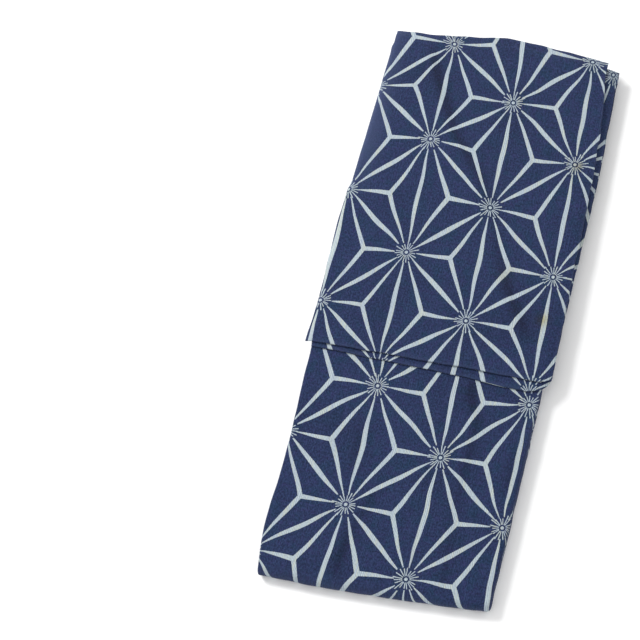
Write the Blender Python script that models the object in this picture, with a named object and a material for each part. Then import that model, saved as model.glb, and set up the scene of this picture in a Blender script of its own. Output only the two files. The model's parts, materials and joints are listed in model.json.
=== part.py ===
"""A cotton yukata robe, folded for the shelf: metres, +Z up, +Y towards the shoulders.

The body is folded lengthwise on its centre back seam, then across at half its length, so that four
panels lie one in the next, each bent round the fold at -Y: the left back outside, then the left front,
the right front and, innermost, the right back. Both sleeves are turned over the -X side onto the top,
the left one first and the right one over it, with their cuffs at +X.
"""

import math

import bpy
import numpy as np
from mathutils import Matrix

# Driving dimensions.
STACK = 0.0210  # height of the folded body
PLY = 0.0012  # one panel of cloth
FRONT = 0.0035  # a front with its overlap panel and its run of the collar
SLEEVE = 0.0026  # a flattened sleeve, two plies
COLLAR = 0.0034  # the collar folded in at the neck
GAP = 0.0003  # between pieces that touch
SHOULDER_Y = 0.3830  # the shoulder fold, at the middle of the width
FOLD_Y = -0.4005  # the fold at half the robe's length
HEM_SHORT = 0.0100  # the hem stops this far short of the shoulder
SLANT = 0.0090  # the two ends lean this much towards each other across the width
BOW_START = 0.2000  # where the body's length begins to bow, towards -Y
FOLD_BOW = 0.0036  # how far the half-length fold bows out at the middle of the width
SETTLE = 0.10  # share of its height that the stack loses at the half-length fold
SETTLE_Y, SETTLE_RUN = 0.0200, 0.4000  # where it begins to lose it, towards -Y, and over what length
NECK_WIDTH = 0.0950  # half of the neck opening, from the centre back
NECK_DEPTH = 0.0380  # from the shoulder to the bottom of the neck opening
NECK_TURN = 0.0070  # the last of that depth, where the neck edge runs slanting to the fold
COLLAR_PROUD = 0.0040  # how far the folded collar stands past the shoulder
COLLAR_ROOM = 0.0020  # room between the collar's end and the fronts
COLLAR_PARTED = 0.0180  # how far down from the shoulder the collar's two runs are seen parted
SLEEVE_SEAM = 0.2300  # length of sleeve that is sewn to the body, from the shoulder
CUFF_OPENING = 0.2300  # length of cuff that is left open, from the sleeve's top
LEFT_CORNER, RIGHT_CORNER = 0.0240, 0.0120  # radius of each sleeve's lower cuff corner
LEFT_WRAP, RIGHT_WRAP = 0.0050, 0.0086  # how far down the side each sleeve reaches at its seam
LEFT_BEND, RIGHT_BEND = 0.56, 0.80  # angle by which each sleeve's free edge bends down
FREE_RUN = 0.0260  # length over which a sewn edge passes into the free one
FREE_PAST = 0.0220  # how far past the seam's end the edge is quite free
EDGE_PART = 0.1300  # the strip of a sleeve beyond this x, either way, holds its cuff or body edge
CUFF_PART_END, BODY_PART_END = 0.0200, 0.0100  # how far from a sleeve's ends its open edges stop
LEFT_DROP, RIGHT_DROP = 0.0065, 0.0040  # how far each sleeve's cuff sinks past the body's edge
DROP_START = 0.0050  # how far inside the body's edge it begins to sink
DROP_RUN = 0.0240  # the width over which it sinks
LAST_STRIP = 0.0100  # least width of the strip of faces along the cuff
CUFF_LEAN = 0.16  # lean of a sleeve's thickness at its sinking cuff
OVERHANG_DROP = 0.0030  # how far the topmost sleeve's fold sinks past the sleeve beneath
CORNER_SLACK = 0.0008  # more room under a sleeve where the shoulder's corner stands square
SLACK_FROM, SLACK_RUN = 0.0200, 0.0140  # where that room begins, from the shoulder, and its run
CORNER_TURNED = 0.24  # share of the side's turn that the cloth has made where the shoulder turns down
CORNER_RUN = 0.0160  # length from the shoulder over which it makes the rest

HALF = STACK / 2
DEEP = HALF - GAP / 2  # depth of the right back's face from the outside of the stack
SIDE_CURL = 0.0025  # radius of a back panel's turn at the side seam and at the shoulder
BACK_CURL = DEEP / 2 - GAP / 2 - PLY / 2  # radius of the turn at the centre back seam
MEAN_LEFT, MEAN_RIGHT = -0.1500, 0.1500
WIDTH = MEAN_RIGHT - MEAN_LEFT

# The body's side edges: y, the side seam edge and the centre back edge.
BODY_EDGES = np.array(
    [
        (-0.4005, -0.1580, 0.1385),
        (-0.2500, -0.1555, 0.1435),
        (-0.1000, -0.1570, 0.1475),
        (0.0500, -0.1562, 0.1500),
        (0.2000, -0.1510, 0.1520),
        (0.2900, -0.1472, 0.1530),
        (0.3830, -0.1440, 0.1540),
    ]
)
# Each sleeve's edges: y, how far its free back edge reaches past the body, and its cuff edge.
LEFT_SLEEVE_SIDES = np.array(
    [
        (-0.1010, -0.0010, 0.1585),
        (-0.0500, -0.0010, 0.1590),
        (0.0400, -0.0010, 0.1610),
        (0.1600, -0.0010, 0.1650),
        (0.3730, -0.0010, 0.1660),
    ]
)
RIGHT_SLEEVE_SIDES = np.array(
    [
        (-0.0925, 0.0078, 0.1575),
        (-0.0200, 0.0040, 0.1580),
        (0.0400, 0.0050, 0.1582),
        (0.1000, 0.0068, 0.1584),
        (0.1470, 0.0060, 0.1585),
        (0.2800, 0.0030, 0.1565),
        (0.3870, 0.0030, 0.1480),
    ]
)
# Each sleeve's lower seam and top fold: x, y of the seam and y of the fold.
LEFT_SLEEVE_ENDS = np.array(
    [
        (-0.1500, -0.0932, 0.3835),
        (-0.0900, -0.0951, 0.3825),
        (-0.0200, -0.0980, 0.3810),
        (0.0530, -0.1015, 0.3790),
        (0.1000, -0.1052, 0.3775),
        (0.1650, -0.1060, 0.3758),
    ]
)
RIGHT_SLEEVE_ENDS = np.array(
    [
        (-0.1600, -0.0872, 0.3945),
        (-0.0580, -0.0882, 0.3985),
        (-0.0080, -0.0890, 0.4040),
        (0.0060, -0.0890, 0.4062),
        (0.0200, -0.0890, 0.4046),
        (0.0810, -0.0903, 0.3975),
        (0.1500, -0.0925, 0.3868),
    ]
)

CURL_ANGLES = np.radians((90, 68, 45, 22, 0))
TURN_SHARES = (1, 0.83, 0.66, 0.5, 0.33, 0.16, 0)
FLAT_SHARES = (0.0, 0.25, 0.5, 0.75, 1.0)
SHOULDER_ROWS = (0.0, 0.0060, 0.0140)  # rows of a panel behind its turn at the shoulder
PANEL_ROWS = 14  # rows along the flat of a panel
FOLD_ROWS = 10  # rows round the half-length fold
COLLAR_ROWS, COLLAR_COLUMNS = 5, 7
SLEEVE_COLUMNS = (0.08, 0.22, 0.42, 0.62, 0.80)  # shares of a sleeve's width over the body
CUFF_COLUMNS = (0, 0.3, 0.6, 0.85, 1)  # shares of the strip along its cuff
CORNER_ROWS = (0, 0.0030, 0.0070, 0.0120, 0.0180, 0.0240, 0.0340)  # from its lower seam
SLEEVE_ROWS = (0.14, 0.23, 0.32, 0.41, 0.48, 0.51, 0.54, 0.62, 0.71, 0.80, 0.87, 0.94)  # shares of its drop
PAST_ROWS = (0.001, 0.35, 0.70, 1)  # shares of its stretch past the sleeve beneath
# A rim as shares of half the wall: across it and outwards, for closed cloth and for two open plies.
CLOSED_RIM = np.array([(0.80, 0.60), (0.30, 0.95), (-0.30, 0.95), (-0.80, 0.60)])
OPEN_RIM = np.array([(0.70, 0.80), (0.12, 0.05), (-0.12, 0.05), (-0.70, 0.80)])


def smooth(table, column, at):
    """Reads a column of a table at any value of its first column, on a cubic through the rows."""
    x, y = table[:, 0], table[:, column]
    slope = np.gradient(y, x)
    at = np.clip(np.asarray(at, float), x[0], x[-1])
    i = np.clip(np.searchsorted(x, at) - 1, 0, len(x) - 2)
    step = x[i + 1] - x[i]
    t = (at - x[i]) / step
    start = y[i] * (1 + 2 * t) * (1 - t) ** 2 + y[i + 1] * t**2 * (3 - 2 * t)
    return start + step * (slope[i] * t * (1 - t) ** 2 - slope[i + 1] * t**2 * (1 - t))


def ease(t):
    """0 to 1 with level ends."""
    t = np.clip(t, 0, 1)
    return t * t * (3 - 2 * t)


def settle(y):
    """Share of its height that the stack keeps at y: it is lower towards the half-length fold."""
    return 1 - SETTLE * ease((SETTLE_Y - y) / SETTLE_RUN)


def body_side(column, y, share):
    """x of a side of the body where the slanted body's own line crosses y."""
    lean = 1 + SLANT * (0.5 - share) / -FOLD_Y
    return smooth(BODY_EDGES, column, y / lean)


def lay_body(points):
    """Puts points of the straight stack where the body lies: its edges, its slanted ends, its height."""
    x, y, z = points[..., 0], points[..., 1], points[..., 2]
    share = (x - MEAN_LEFT) / WIDTH
    left = smooth(BODY_EDGES, 1, y)
    right = smooth(BODY_EDGES, 2, y)
    leant = y * (1 + SLANT * (0.5 - share) / -FOLD_Y)
    leant = leant - FOLD_BOW * 4 * share * (1 - share) * ease((y + BOW_START) / (FOLD_Y + BOW_START))
    return np.stack([left + share * (right - left), leant, z * settle(y)], axis=-1)


def stations(facing, curl, start, end):
    """Points along the folded body as rows of y, z, normal y and normal z.

    facing is 1 for the outside of the stack and -1 for the right back's face, which looks at the
    middle. curl is the radius of the turn at the shoulder, or 0 where the piece has none.
    """
    depth = 0 if facing > 0 else DEEP
    rows = []
    for angle in CURL_ANGLES[:-1] if curl else ():
        rows.append(
            (
                start - curl * (1 - math.sin(angle)),
                STACK - depth - facing * curl * (1 - math.cos(angle)),
                math.sin(angle),
                facing * math.cos(angle),
            )
        )
    centre = FOLD_Y + HALF
    turned = start - curl
    behind = [turned - row for row in SHOULDER_ROWS]
    for y in behind + [start - NECK_DEPTH + NECK_TURN]:
        rows.append((y, STACK - depth, 0, facing))
    for y in np.linspace(start - NECK_DEPTH, centre, PANEL_ROWS):
        rows.append((y, STACK - depth, 0, facing))
    radius = HALF - depth
    for angle in np.radians(np.linspace(90, -90, FOLD_ROWS))[1:-1]:
        y = centre - radius * math.cos(angle)
        z = HALF + radius * math.sin(angle)
        rows.append((y, z, -facing * math.cos(angle), facing * math.sin(angle)))
    for y in np.linspace(centre, end, PANEL_ROWS):
        rows.append((y, depth, 0, -facing))
    return np.array(rows)


def sweep(path, across, depth):
    """Points at each row of a path, at each (x, depth below the path) of a section."""
    base = np.zeros((len(path), across.shape[-1], 3))
    base[..., 0] = across
    base[..., 1] = path[:, None, 0] - path[:, None, 2] * depth
    base[..., 2] = path[:, None, 1] - path[:, None, 3] * depth
    return lay_body(base)


def channel(left_curl, right_curl, ply):
    """A back panel's section: (x, depth) of a flat sheet that turns in at both sides, ply inside it."""
    out, deep = [], []
    for angle in CURL_ANGLES:
        out.append(MEAN_LEFT + left_curl - (left_curl - ply) * math.sin(angle))
        deep.append(left_curl - (left_curl - ply) * math.cos(angle))
    flat_from, flat_to = MEAN_LEFT + left_curl, MEAN_RIGHT - right_curl
    for share in FLAT_SHARES[1:-1]:
        out.append(flat_from + share * (flat_to - flat_from))
        deep.append(ply)
    for angle in CURL_ANGLES[::-1]:
        out.append(MEAN_RIGHT - right_curl + (right_curl - ply) * math.sin(angle))
        deep.append(right_curl - (right_curl - ply) * math.cos(angle))
    return np.array(out), np.array(deep)


def open_out(path, start):
    """How far the sides are turned in at each row: not at all where the shoulder turns down."""
    reach = start - path[:, 0]
    upper = np.arange(len(path)) < len(path) // 2
    rest = CORNER_TURNED + (1 - CORNER_TURNED) * ease(reach / CORNER_RUN)
    turned = np.where(reach < SIDE_CURL, CORNER_TURNED * reach / SIDE_CURL, rest)
    return np.where(upper, np.clip(turned, 0, 1), 1.0)[:, None]


def grow_ring(outer, inner):
    """The border of a wall as loops: outer and inner points, and the way out of the sheet."""
    rows, columns = outer.shape[:2]
    border = [(0, j) for j in range(columns)]
    border += [(i, columns - 1) for i in range(1, rows)]
    border += [(rows - 1, j) for j in range(columns - 2, -1, -1)]
    border += [(i, 0) for i in range(rows - 2, 0, -1)]
    middle = (outer + inner) / 2
    away = []
    for i, j in border:
        way = np.zeros(3)
        for at, last, inside in ((i, rows - 1, (1, 0)), (j, columns - 1, (0, 1))):
            if at in (0, last):
                sign = 1 if at == 0 else -1
                step = middle[i, j] - middle[i + sign * inside[0], j + sign * inside[1]]
                way += step / np.linalg.norm(step)
        away.append(way / np.linalg.norm(way))
    return border, np.array(away)


def wall(name, outer, inner, openness=None):
    """A closed cloth wall between two grids of points, with a rounded rim.

    openness(points) gives 1 where the rim shows two open plies and 0 where it is one closed edge.
    """
    rows, columns = outer.shape[:2]
    border, away = grow_ring(outer, inner)
    top = np.array([outer[i, j] for i, j in border])
    low = np.array([inner[i, j] for i, j in border])
    half = (top - low) / 2
    reach = np.linalg.norm(half, axis=1, keepdims=True)
    opened = np.zeros((len(border), 1)) if openness is None else openness(top)[:, None]
    vertices = [outer.reshape(-1, 3), inner.reshape(-1, 3)]
    for shut, parted in zip(CLOSED_RIM, OPEN_RIM):
        across = shut[0] * (1 - opened) + parted[0] * opened
        out = shut[1] * (1 - opened) + parted[1] * opened
        vertices.append((top + low) / 2 + half * across + away * reach * out)
    count = rows * columns
    faces = []
    for i in range(rows - 1):
        for j in range(columns - 1):
            a = i * columns + j
            faces.append((a, a + 1, a + columns + 1, a + columns))
            faces.append(tuple(count + k for k in (a, a + columns, a + columns + 1, a + 1)))
    loops = [[i * columns + j for i, j in border]]
    for ring in range(len(CLOSED_RIM)):
        loops.append([2 * count + ring * len(border) + k for k in range(len(border))])
    loops.append([count + i * columns + j for i, j in border])
    for one, two in zip(loops, loops[1:]):
        for k in range(len(border)):
            n = (k + 1) % len(border)
            faces.append((one[n], one[k], two[k], two[n]))
    mesh = bpy.data.meshes.new(name)
    mesh.from_pydata(np.concatenate(vertices).tolist(), [], faces)
    part = bpy.data.objects.new(name, mesh)
    bpy.context.scene.collection.objects.link(part)
    mesh.shade_smooth()
    face_out(mesh)
    part.data.materials.append(cotton(name))
    return part


def face_out(mesh):
    """Turns every face round if the closed mesh came out inside out."""
    corners = np.zeros(len(mesh.vertices) * 3)
    mesh.vertices.foreach_get("co", corners)
    mesh.calc_loop_triangles()
    index = np.zeros(len(mesh.loop_triangles) * 3, np.int32)
    mesh.loop_triangles.foreach_get("vertices", index)
    triangles = corners.reshape(-1, 3)[index.reshape(-1, 3)]
    if np.linalg.det(triangles).sum() < 0:
        mesh.flip_normals()


def cotton(name):
    """Plain-weave cotton, dyed indigo."""
    material = bpy.data.materials.new(name + "_cotton")
    material.use_nodes = True
    shader = material.node_tree.nodes["Principled BSDF"]
    shader.inputs["Base Color"].default_value = (0.032, 0.047, 0.112, 1)
    shader.inputs["Roughness"].default_value = 0.85
    shader.inputs["Metallic"].default_value = 0.0
    return material


def back_panel(name, facing):
    """A back: turned in at the side seam, at the centre back seam and, over the front, at the shoulder."""
    path = stations(facing, SIDE_CURL, SHOULDER_Y, SHOULDER_Y - HEM_SHORT)
    turned = open_out(path, SHOULDER_Y)
    x, depth = channel(SIDE_CURL, BACK_CURL, 0)
    inner_x, inner_depth = channel(SIDE_CURL, BACK_CURL, PLY)
    outer = sweep(path, np.repeat(x[None], len(path), 0), depth * turned)
    inner_x = x + (inner_x - x) * turned
    inner = sweep(path, inner_x, PLY + (inner_depth - PLY) * turned)
    return wall(name, outer, inner)


def front_leaf(name, depth):
    """A front folded with its overlap panel and collar run, cut away at the neck."""
    start = SHOULDER_Y - PLY - GAP - FRONT / 2
    path = stations(1, 0, start, SHOULDER_Y - HEM_SHORT - FRONT / 2)
    side = MEAN_LEFT + PLY + GAP + FRONT / 2
    back = MEAN_RIGHT - PLY - 2 * FRONT / 2 - GAP
    upper = np.arange(len(path)) < len(path) // 2
    at_neck = upper & (path[:, 0] > start - NECK_DEPTH + GAP)
    limit = np.where(at_neck, MEAN_RIGHT - NECK_WIDTH, back)
    shares = np.array(FLAT_SHARES)
    across = side + shares * (limit[:, None] - side)
    deep = np.full(across.shape, depth)
    leaf = sweep(path, across, deep), sweep(path, across, deep + FRONT)
    return wall(name, *leaf, openness=lambda at: (at[:, 0] < MEAN_RIGHT - NECK_WIDTH) * 1.0)


def collar():
    """The collar, folded in at the neck between the fronts, with its two runs parted at the rim."""
    rim = COLLAR / 2
    neck_side = MEAN_RIGHT - NECK_WIDTH + GAP + COLLAR_ROOM
    x = np.linspace(neck_side + rim, MEAN_RIGHT - BACK_CURL - rim, COLLAR_COLUMNS)
    bottom = SHOULDER_Y - NECK_DEPTH + NECK_TURN
    y = np.linspace(SHOULDER_Y + COLLAR_PROUD - rim, bottom + rim, COLLAR_ROWS)
    points = np.zeros((len(y), len(x), 3))
    points[..., 0] = x
    points[..., 1] = y[:, None]
    top = STACK - DEEP / 2 + COLLAR / 2
    outer = lay_body(points + (0, 0, top))
    inner = lay_body(points + (0, 0, top - COLLAR))
    return wall("collar", outer, inner, openness=lambda at: (at[:, 1] > SHOULDER_Y - COLLAR_PARTED) * 1.0)


def side_turn(radius, length):
    """A sleeve's underside round the side edge: (x, z, normal x, normal z) from its edge back to the top.

    It bends on a radius up to a quarter turn and then goes straight down, length in all.
    """
    run = length * np.array(TURN_SHARES)
    angle = np.minimum(run / radius, math.pi / 2)
    down = run - radius * angle
    x = -radius * np.sin(angle)
    z = radius * (np.cos(angle) - 1) - down
    return np.stack([x, z, -np.sin(angle), np.cos(angle)], axis=1)


def sleeve_section(y, cut, sides, lift, wrap, bend, drop):
    """(x, z, normal x, normal z) of a sleeve's underside at y, from its body edge to its cuff.

    lift is its height over the body's top and wrap the depth that it reaches down the side where it is
    sewn on. Below the sewn stretch its edge lies free, and bends down by the angle bend. cut is what
    the round corner takes off the cuff side and drop how far the cuff sinks.
    """
    tangent = body_side(1, y, 0) + SIDE_CURL
    back = float(body_side(2, y, 1))
    cuff = float(smooth(sides, 2, y)) - cut
    sewn = SIDE_CURL + lift + CORNER_SLACK * ease((y - SHOULDER_Y + SLACK_FROM) / SLACK_RUN)
    sewn_length = sewn * math.pi / 2 + wrap - SIDE_CURL
    free = (SIDE_CURL + float(smooth(sides, 1, y))) / math.sin(bend)
    fixed = ease((y - (SHOULDER_Y - SLEEVE_SEAM - FREE_PAST)) / FREE_RUN)
    side = side_turn(free + fixed * (sewn - free), free * bend + fixed * (sewn_length - free * bend))
    side[:, 0] += tangent
    side[:, 1] += STACK + lift
    top = [(tangent + share * (back - tangent), STACK + lift, 0, 1) for share in SLEEVE_COLUMNS]
    turn = back - DROP_START
    last = min(turn, cuff - LAST_STRIP)
    for share in CUFF_COLUMNS:
        x = last + share * (cuff - last)
        top.append((x, STACK + lift - drop * ease((x - turn) / DROP_RUN), CUFF_LEAN * share, 1))
    section = np.concatenate([side, np.array(top)])
    section[:, 2:] /= np.linalg.norm(section[:, 2:], axis=1, keepdims=True)
    return section


def sleeve_rows(ends, over):
    """The rows of a sleeve as (share of the drop, share of the stretch past the sleeve beneath)."""
    drop = ends[:, 2].mean() - ends[:, 1].mean()
    rows = [(up / drop, 0) for up in CORNER_ROWS]
    rows += [(share, 0) for share in SLEEVE_ROWS]
    if over is None:
        return rows + [(0.98, 0), (1, 0)]
    return rows + [(1, past) for past in PAST_ROWS]


def sleeve(name, sides, ends, lift, wrap, bend, corner, drop, over=None):
    """A sleeve laid over the body: a flattened bag with a round lower cuff corner.

    over is the ends of the sleeve beneath, past which this one's top fold sinks a little.
    """
    low, high = ends[:, 1].mean(), ends[:, 2].mean()
    outer, inner = [], []
    for share, past in sleeve_rows(ends, over):
        up = share * (high - low)
        short = max(corner - up, 0)
        cut = corner - math.sqrt(corner**2 - short**2)
        section = sleeve_section(low + up, cut, sides, lift, wrap, bend, drop)
        x = section[:, 0]
        seam, fold = smooth(ends, 1, x), smooth(ends, 2, x)
        long = seam + share * (fold - seam)
        if past:
            beneath = smooth(over, 2, x) + SLEEVE / 2
            long = beneath + past * (fold - beneath)
        for rows, thick in ((inner, 0), (outer, SLEEVE)):
            z = section[:, 1] + thick * section[:, 3] - OVERHANG_DROP * ease(past)
            rows.append(np.stack([x + thick * section[:, 2], long, z * settle(long)], axis=-1))

    def openness(at):
        x, y = at[:, 0], at[:, 1]
        cuff = (x > EDGE_PART) & (y > high - CUFF_OPENING) & (y < high - CUFF_PART_END)
        body = (x < -EDGE_PART) & (y < high - SLEEVE_SEAM) & (y > low + BODY_PART_END)
        return (cuff | body) * 1.0

    return wall(name, np.array(outer), np.array(inner), openness)


def centre():
    """Puts the middle of the robe's outline, seen from above, over the origin."""
    meshes = [part.data for part in bpy.context.scene.objects]
    points = np.concatenate([[vertex.co[:] for vertex in mesh.vertices] for mesh in meshes])
    x, y, _ = (points.min(axis=0) + points.max(axis=0)) / 2
    for mesh in meshes:
        mesh.transform(Matrix.Translation((-x, -y, 0)))


def build():
    for old in list(bpy.data.objects):
        bpy.data.objects.remove(old)
    back_panel("left_back", 1)
    front_leaf("left_front", PLY + GAP)
    front_leaf("right_front", PLY + FRONT + 2 * GAP)
    back_panel("right_back", -1)
    collar()
    lower = (LEFT_SLEEVE_SIDES, LEFT_SLEEVE_ENDS, GAP, LEFT_WRAP, LEFT_BEND, LEFT_CORNER, LEFT_DROP)
    upper = (RIGHT_SLEEVE_SIDES, RIGHT_SLEEVE_ENDS, SLEEVE + 3 * GAP, RIGHT_WRAP, RIGHT_BEND)
    upper += (RIGHT_CORNER, RIGHT_DROP)
    sleeve("left_sleeve", *lower)
    sleeve("right_sleeve", *upper, over=LEFT_SLEEVE_ENDS)
    centre()


build()
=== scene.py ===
import json
import math

import bpy
import numpy as np
from mathutils import Matrix, Vector
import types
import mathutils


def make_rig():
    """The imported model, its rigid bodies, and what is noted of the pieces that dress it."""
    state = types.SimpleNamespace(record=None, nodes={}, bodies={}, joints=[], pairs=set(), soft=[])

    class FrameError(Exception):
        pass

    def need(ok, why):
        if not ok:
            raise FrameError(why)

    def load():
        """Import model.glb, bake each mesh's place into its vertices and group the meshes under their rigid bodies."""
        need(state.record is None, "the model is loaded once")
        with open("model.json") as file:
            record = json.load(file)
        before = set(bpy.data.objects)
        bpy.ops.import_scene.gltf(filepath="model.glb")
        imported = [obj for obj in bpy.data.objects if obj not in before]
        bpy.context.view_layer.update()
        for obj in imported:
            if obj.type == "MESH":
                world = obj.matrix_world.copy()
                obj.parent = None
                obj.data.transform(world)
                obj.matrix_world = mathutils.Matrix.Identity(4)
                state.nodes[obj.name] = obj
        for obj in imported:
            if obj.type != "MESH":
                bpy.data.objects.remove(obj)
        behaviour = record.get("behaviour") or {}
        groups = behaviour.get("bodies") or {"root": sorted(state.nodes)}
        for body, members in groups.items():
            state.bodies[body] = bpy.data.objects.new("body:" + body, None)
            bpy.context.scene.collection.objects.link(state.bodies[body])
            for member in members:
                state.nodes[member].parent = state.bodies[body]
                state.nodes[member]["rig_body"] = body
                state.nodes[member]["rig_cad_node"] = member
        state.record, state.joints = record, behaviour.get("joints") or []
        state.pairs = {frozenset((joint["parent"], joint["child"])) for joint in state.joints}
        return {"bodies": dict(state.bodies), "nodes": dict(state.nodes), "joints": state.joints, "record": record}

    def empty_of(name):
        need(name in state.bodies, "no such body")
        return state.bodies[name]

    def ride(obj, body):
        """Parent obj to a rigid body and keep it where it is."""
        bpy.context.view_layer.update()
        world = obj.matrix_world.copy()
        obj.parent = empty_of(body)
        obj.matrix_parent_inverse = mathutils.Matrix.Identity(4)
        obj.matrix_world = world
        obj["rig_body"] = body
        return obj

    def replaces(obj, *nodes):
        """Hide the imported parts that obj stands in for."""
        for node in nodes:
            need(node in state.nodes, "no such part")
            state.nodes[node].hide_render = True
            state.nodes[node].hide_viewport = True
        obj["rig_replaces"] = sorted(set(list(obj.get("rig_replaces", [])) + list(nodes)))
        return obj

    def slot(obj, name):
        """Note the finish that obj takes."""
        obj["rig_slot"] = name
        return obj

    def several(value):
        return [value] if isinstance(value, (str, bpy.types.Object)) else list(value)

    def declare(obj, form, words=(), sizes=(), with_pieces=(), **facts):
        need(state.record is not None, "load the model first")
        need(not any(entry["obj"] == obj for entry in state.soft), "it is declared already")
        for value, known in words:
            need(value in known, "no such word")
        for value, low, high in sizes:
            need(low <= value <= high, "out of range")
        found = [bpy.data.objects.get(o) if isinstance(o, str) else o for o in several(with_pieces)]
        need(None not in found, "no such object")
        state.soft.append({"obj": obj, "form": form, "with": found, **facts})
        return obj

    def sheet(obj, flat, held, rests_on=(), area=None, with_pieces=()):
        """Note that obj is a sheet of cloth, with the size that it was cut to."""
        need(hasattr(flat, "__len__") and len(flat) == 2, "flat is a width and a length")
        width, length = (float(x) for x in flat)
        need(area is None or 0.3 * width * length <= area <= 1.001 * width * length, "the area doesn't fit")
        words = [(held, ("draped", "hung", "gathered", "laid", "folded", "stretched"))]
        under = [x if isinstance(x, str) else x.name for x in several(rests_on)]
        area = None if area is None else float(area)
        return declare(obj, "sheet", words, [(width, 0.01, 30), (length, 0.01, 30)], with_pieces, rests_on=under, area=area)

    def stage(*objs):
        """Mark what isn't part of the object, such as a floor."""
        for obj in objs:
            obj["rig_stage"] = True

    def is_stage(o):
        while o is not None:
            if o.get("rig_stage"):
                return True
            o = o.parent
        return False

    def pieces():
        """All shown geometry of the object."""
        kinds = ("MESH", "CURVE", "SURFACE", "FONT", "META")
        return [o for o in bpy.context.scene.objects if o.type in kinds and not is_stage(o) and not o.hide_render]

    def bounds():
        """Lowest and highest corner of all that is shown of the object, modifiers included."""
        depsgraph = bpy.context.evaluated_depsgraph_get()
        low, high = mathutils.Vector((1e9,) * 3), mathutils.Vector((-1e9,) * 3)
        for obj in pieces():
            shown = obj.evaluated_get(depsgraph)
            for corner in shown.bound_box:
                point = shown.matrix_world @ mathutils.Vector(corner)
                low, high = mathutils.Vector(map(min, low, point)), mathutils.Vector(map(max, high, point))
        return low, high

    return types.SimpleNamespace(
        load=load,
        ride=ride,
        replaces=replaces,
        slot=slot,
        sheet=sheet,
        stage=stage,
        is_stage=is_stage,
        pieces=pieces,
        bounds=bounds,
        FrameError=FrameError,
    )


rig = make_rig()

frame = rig.load()
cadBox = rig.bounds()

# A folded cotton yukata robe. Lengths are in metres. Everything is worked out in the frame where x = 0
# is the middle of a straight stack, and is moved by "middle" into the model's own frame at the end.
robe = {
    "stack": 0.0210,  # height of the folded body
    "ply": 0.0012,  # room for one panel
    "cloth": 0.00095,  # the cloth of a panel
    "front": 0.0035,  # room for a front with its overlap panel and collar run
    "sleeve": 0.0026,  # a flattened sleeve
    "sleeveCloth": 0.00092,
    "gap": 0.0003,
    "shoulderY": 0.3830,
    "foldY": -0.4005,
    "hemShort": 0.0100,
    "slant": 0.0090,  # lean of the two ends towards each other across the width
    "foldBow": 0.0036, "bowStart": 0.2000,  # the half-length fold bows out at the middle
    # share of its height that the stack loses towards the half-length fold, and from where along y
    "settle": 0.10, "settleFrom": 0.02, "settleRun": 0.40,
    "sideCurl": 0.0025,  # the round of the side seam edge
    "neckWidth": 0.0950,  # the half of the neck opening that shows at the shoulder end
    "left": -0.1500,
    "right": 0.1500,
    "middle": (0.0003281, -0.0006755, 0.0),
    "uneven": 0.00035,  # unevenness of the cloth's free edges
    "creaseFade": 0.34,  # share of a small crease's length over which it fades at each end
    "stepRise": 0.030, "stepDrop": 0.008,  # how far a main crease rises and drops off
    # the width of its painted shade in drops, the height at which the painted shade is darkest, how dark the painted
    # shade is past its drop
    "stepWidth": 1.2, "stepFull": 0.0020, "stepTail": 0.22,
    "ringJump": 0.3,  # a cell whose print coordinates differ by more closes a ring of cloth
}
halfStack = robe["stack"] / 2
deepFace = halfStack - robe["gap"] / 2
backCurl = deepFace / 2 - robe["gap"] / 2 - robe["ply"] / 2
meanWidth = robe["right"] - robe["left"]

# y, the side seam edge, the centre back edge; the lowest corner turns in a little more than its solid's
bodyEdges = np.array([
    (-0.4005, -0.1540, 0.1385), (-0.3480, -0.1588, 0.1402), (-0.2500, -0.1555, 0.1435),
    (-0.1000, -0.1570, 0.1475), (0.0500, -0.1562, 0.1500), (0.2000, -0.1510, 0.1520),
    (0.2900, -0.1472, 0.1530), (0.3830, -0.1440, 0.1540)])


# Shapes
def smoothRow(table, column, at):
    # a column of a table at any value of its first column, on a cubic through the rows
    x, y = table[:, 0], table[:, column]
    slope = np.gradient(y, x)
    at = np.clip(np.asarray(at, float), x[0], x[-1])
    i = np.clip(np.searchsorted(x, at) - 1, 0, len(x) - 2)
    step = x[i + 1] - x[i]
    t = (at - x[i]) / step
    start = y[i] * (1 + 2 * t) * (1 - t) ** 2 + y[i + 1] * t**2 * (3 - 2 * t)
    return start + step * (slope[i] * t * (1 - t) ** 2 - slope[i + 1] * t**2 * (1 - t))


def ease(t):
    # 0 to 1 with level ends
    t = np.clip(t, 0, 1)
    return t * t * (3 - 2 * t)


def bell(off, wide):
    # 1 in the middle and nearly nothing at twice the width
    return np.exp(-(off / wide) ** 2)


def settleShare(y):
    # the stack's height at y, as a share of the whole
    return 1 - robe["settle"] * ease((robe["settleFrom"] - y) / robe["settleRun"])


def leanShare(share):
    # how much longer the stack is than its middle, at a share of its width
    return 1 + robe["slant"] * (0.5 - share) / -robe["foldY"]


def wobble(at, seed, size):
    # a sum of four waves along an edge, 35 to 160 mm long
    draw = np.random.default_rng(seed)
    total = 0.0
    for reach in (0.160, 0.095, 0.056, 0.035):
        total = total + draw.uniform(0.5, 1.0) * np.cos(2 * np.pi * at / reach + draw.uniform(0, 6.28))
    return total * size


def softNoise(x, y, seed, reach, waves=26):
    # level waves in random directions, with lengths near reach, added up to a spread of one
    draw = np.random.default_rng(seed)
    way = draw.uniform(0, 2 * np.pi, waves)
    number = 2 * np.pi / (reach * draw.uniform(0.7, 1.7, waves))
    phase = draw.uniform(0, 2 * np.pi, waves)
    total = 0.0
    for k in range(waves):
        total = total + np.cos(number[k] * (x * np.cos(way[k]) + y * np.sin(way[k])) + phase[k])
    return total * math.sqrt(2 / waves)


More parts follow.
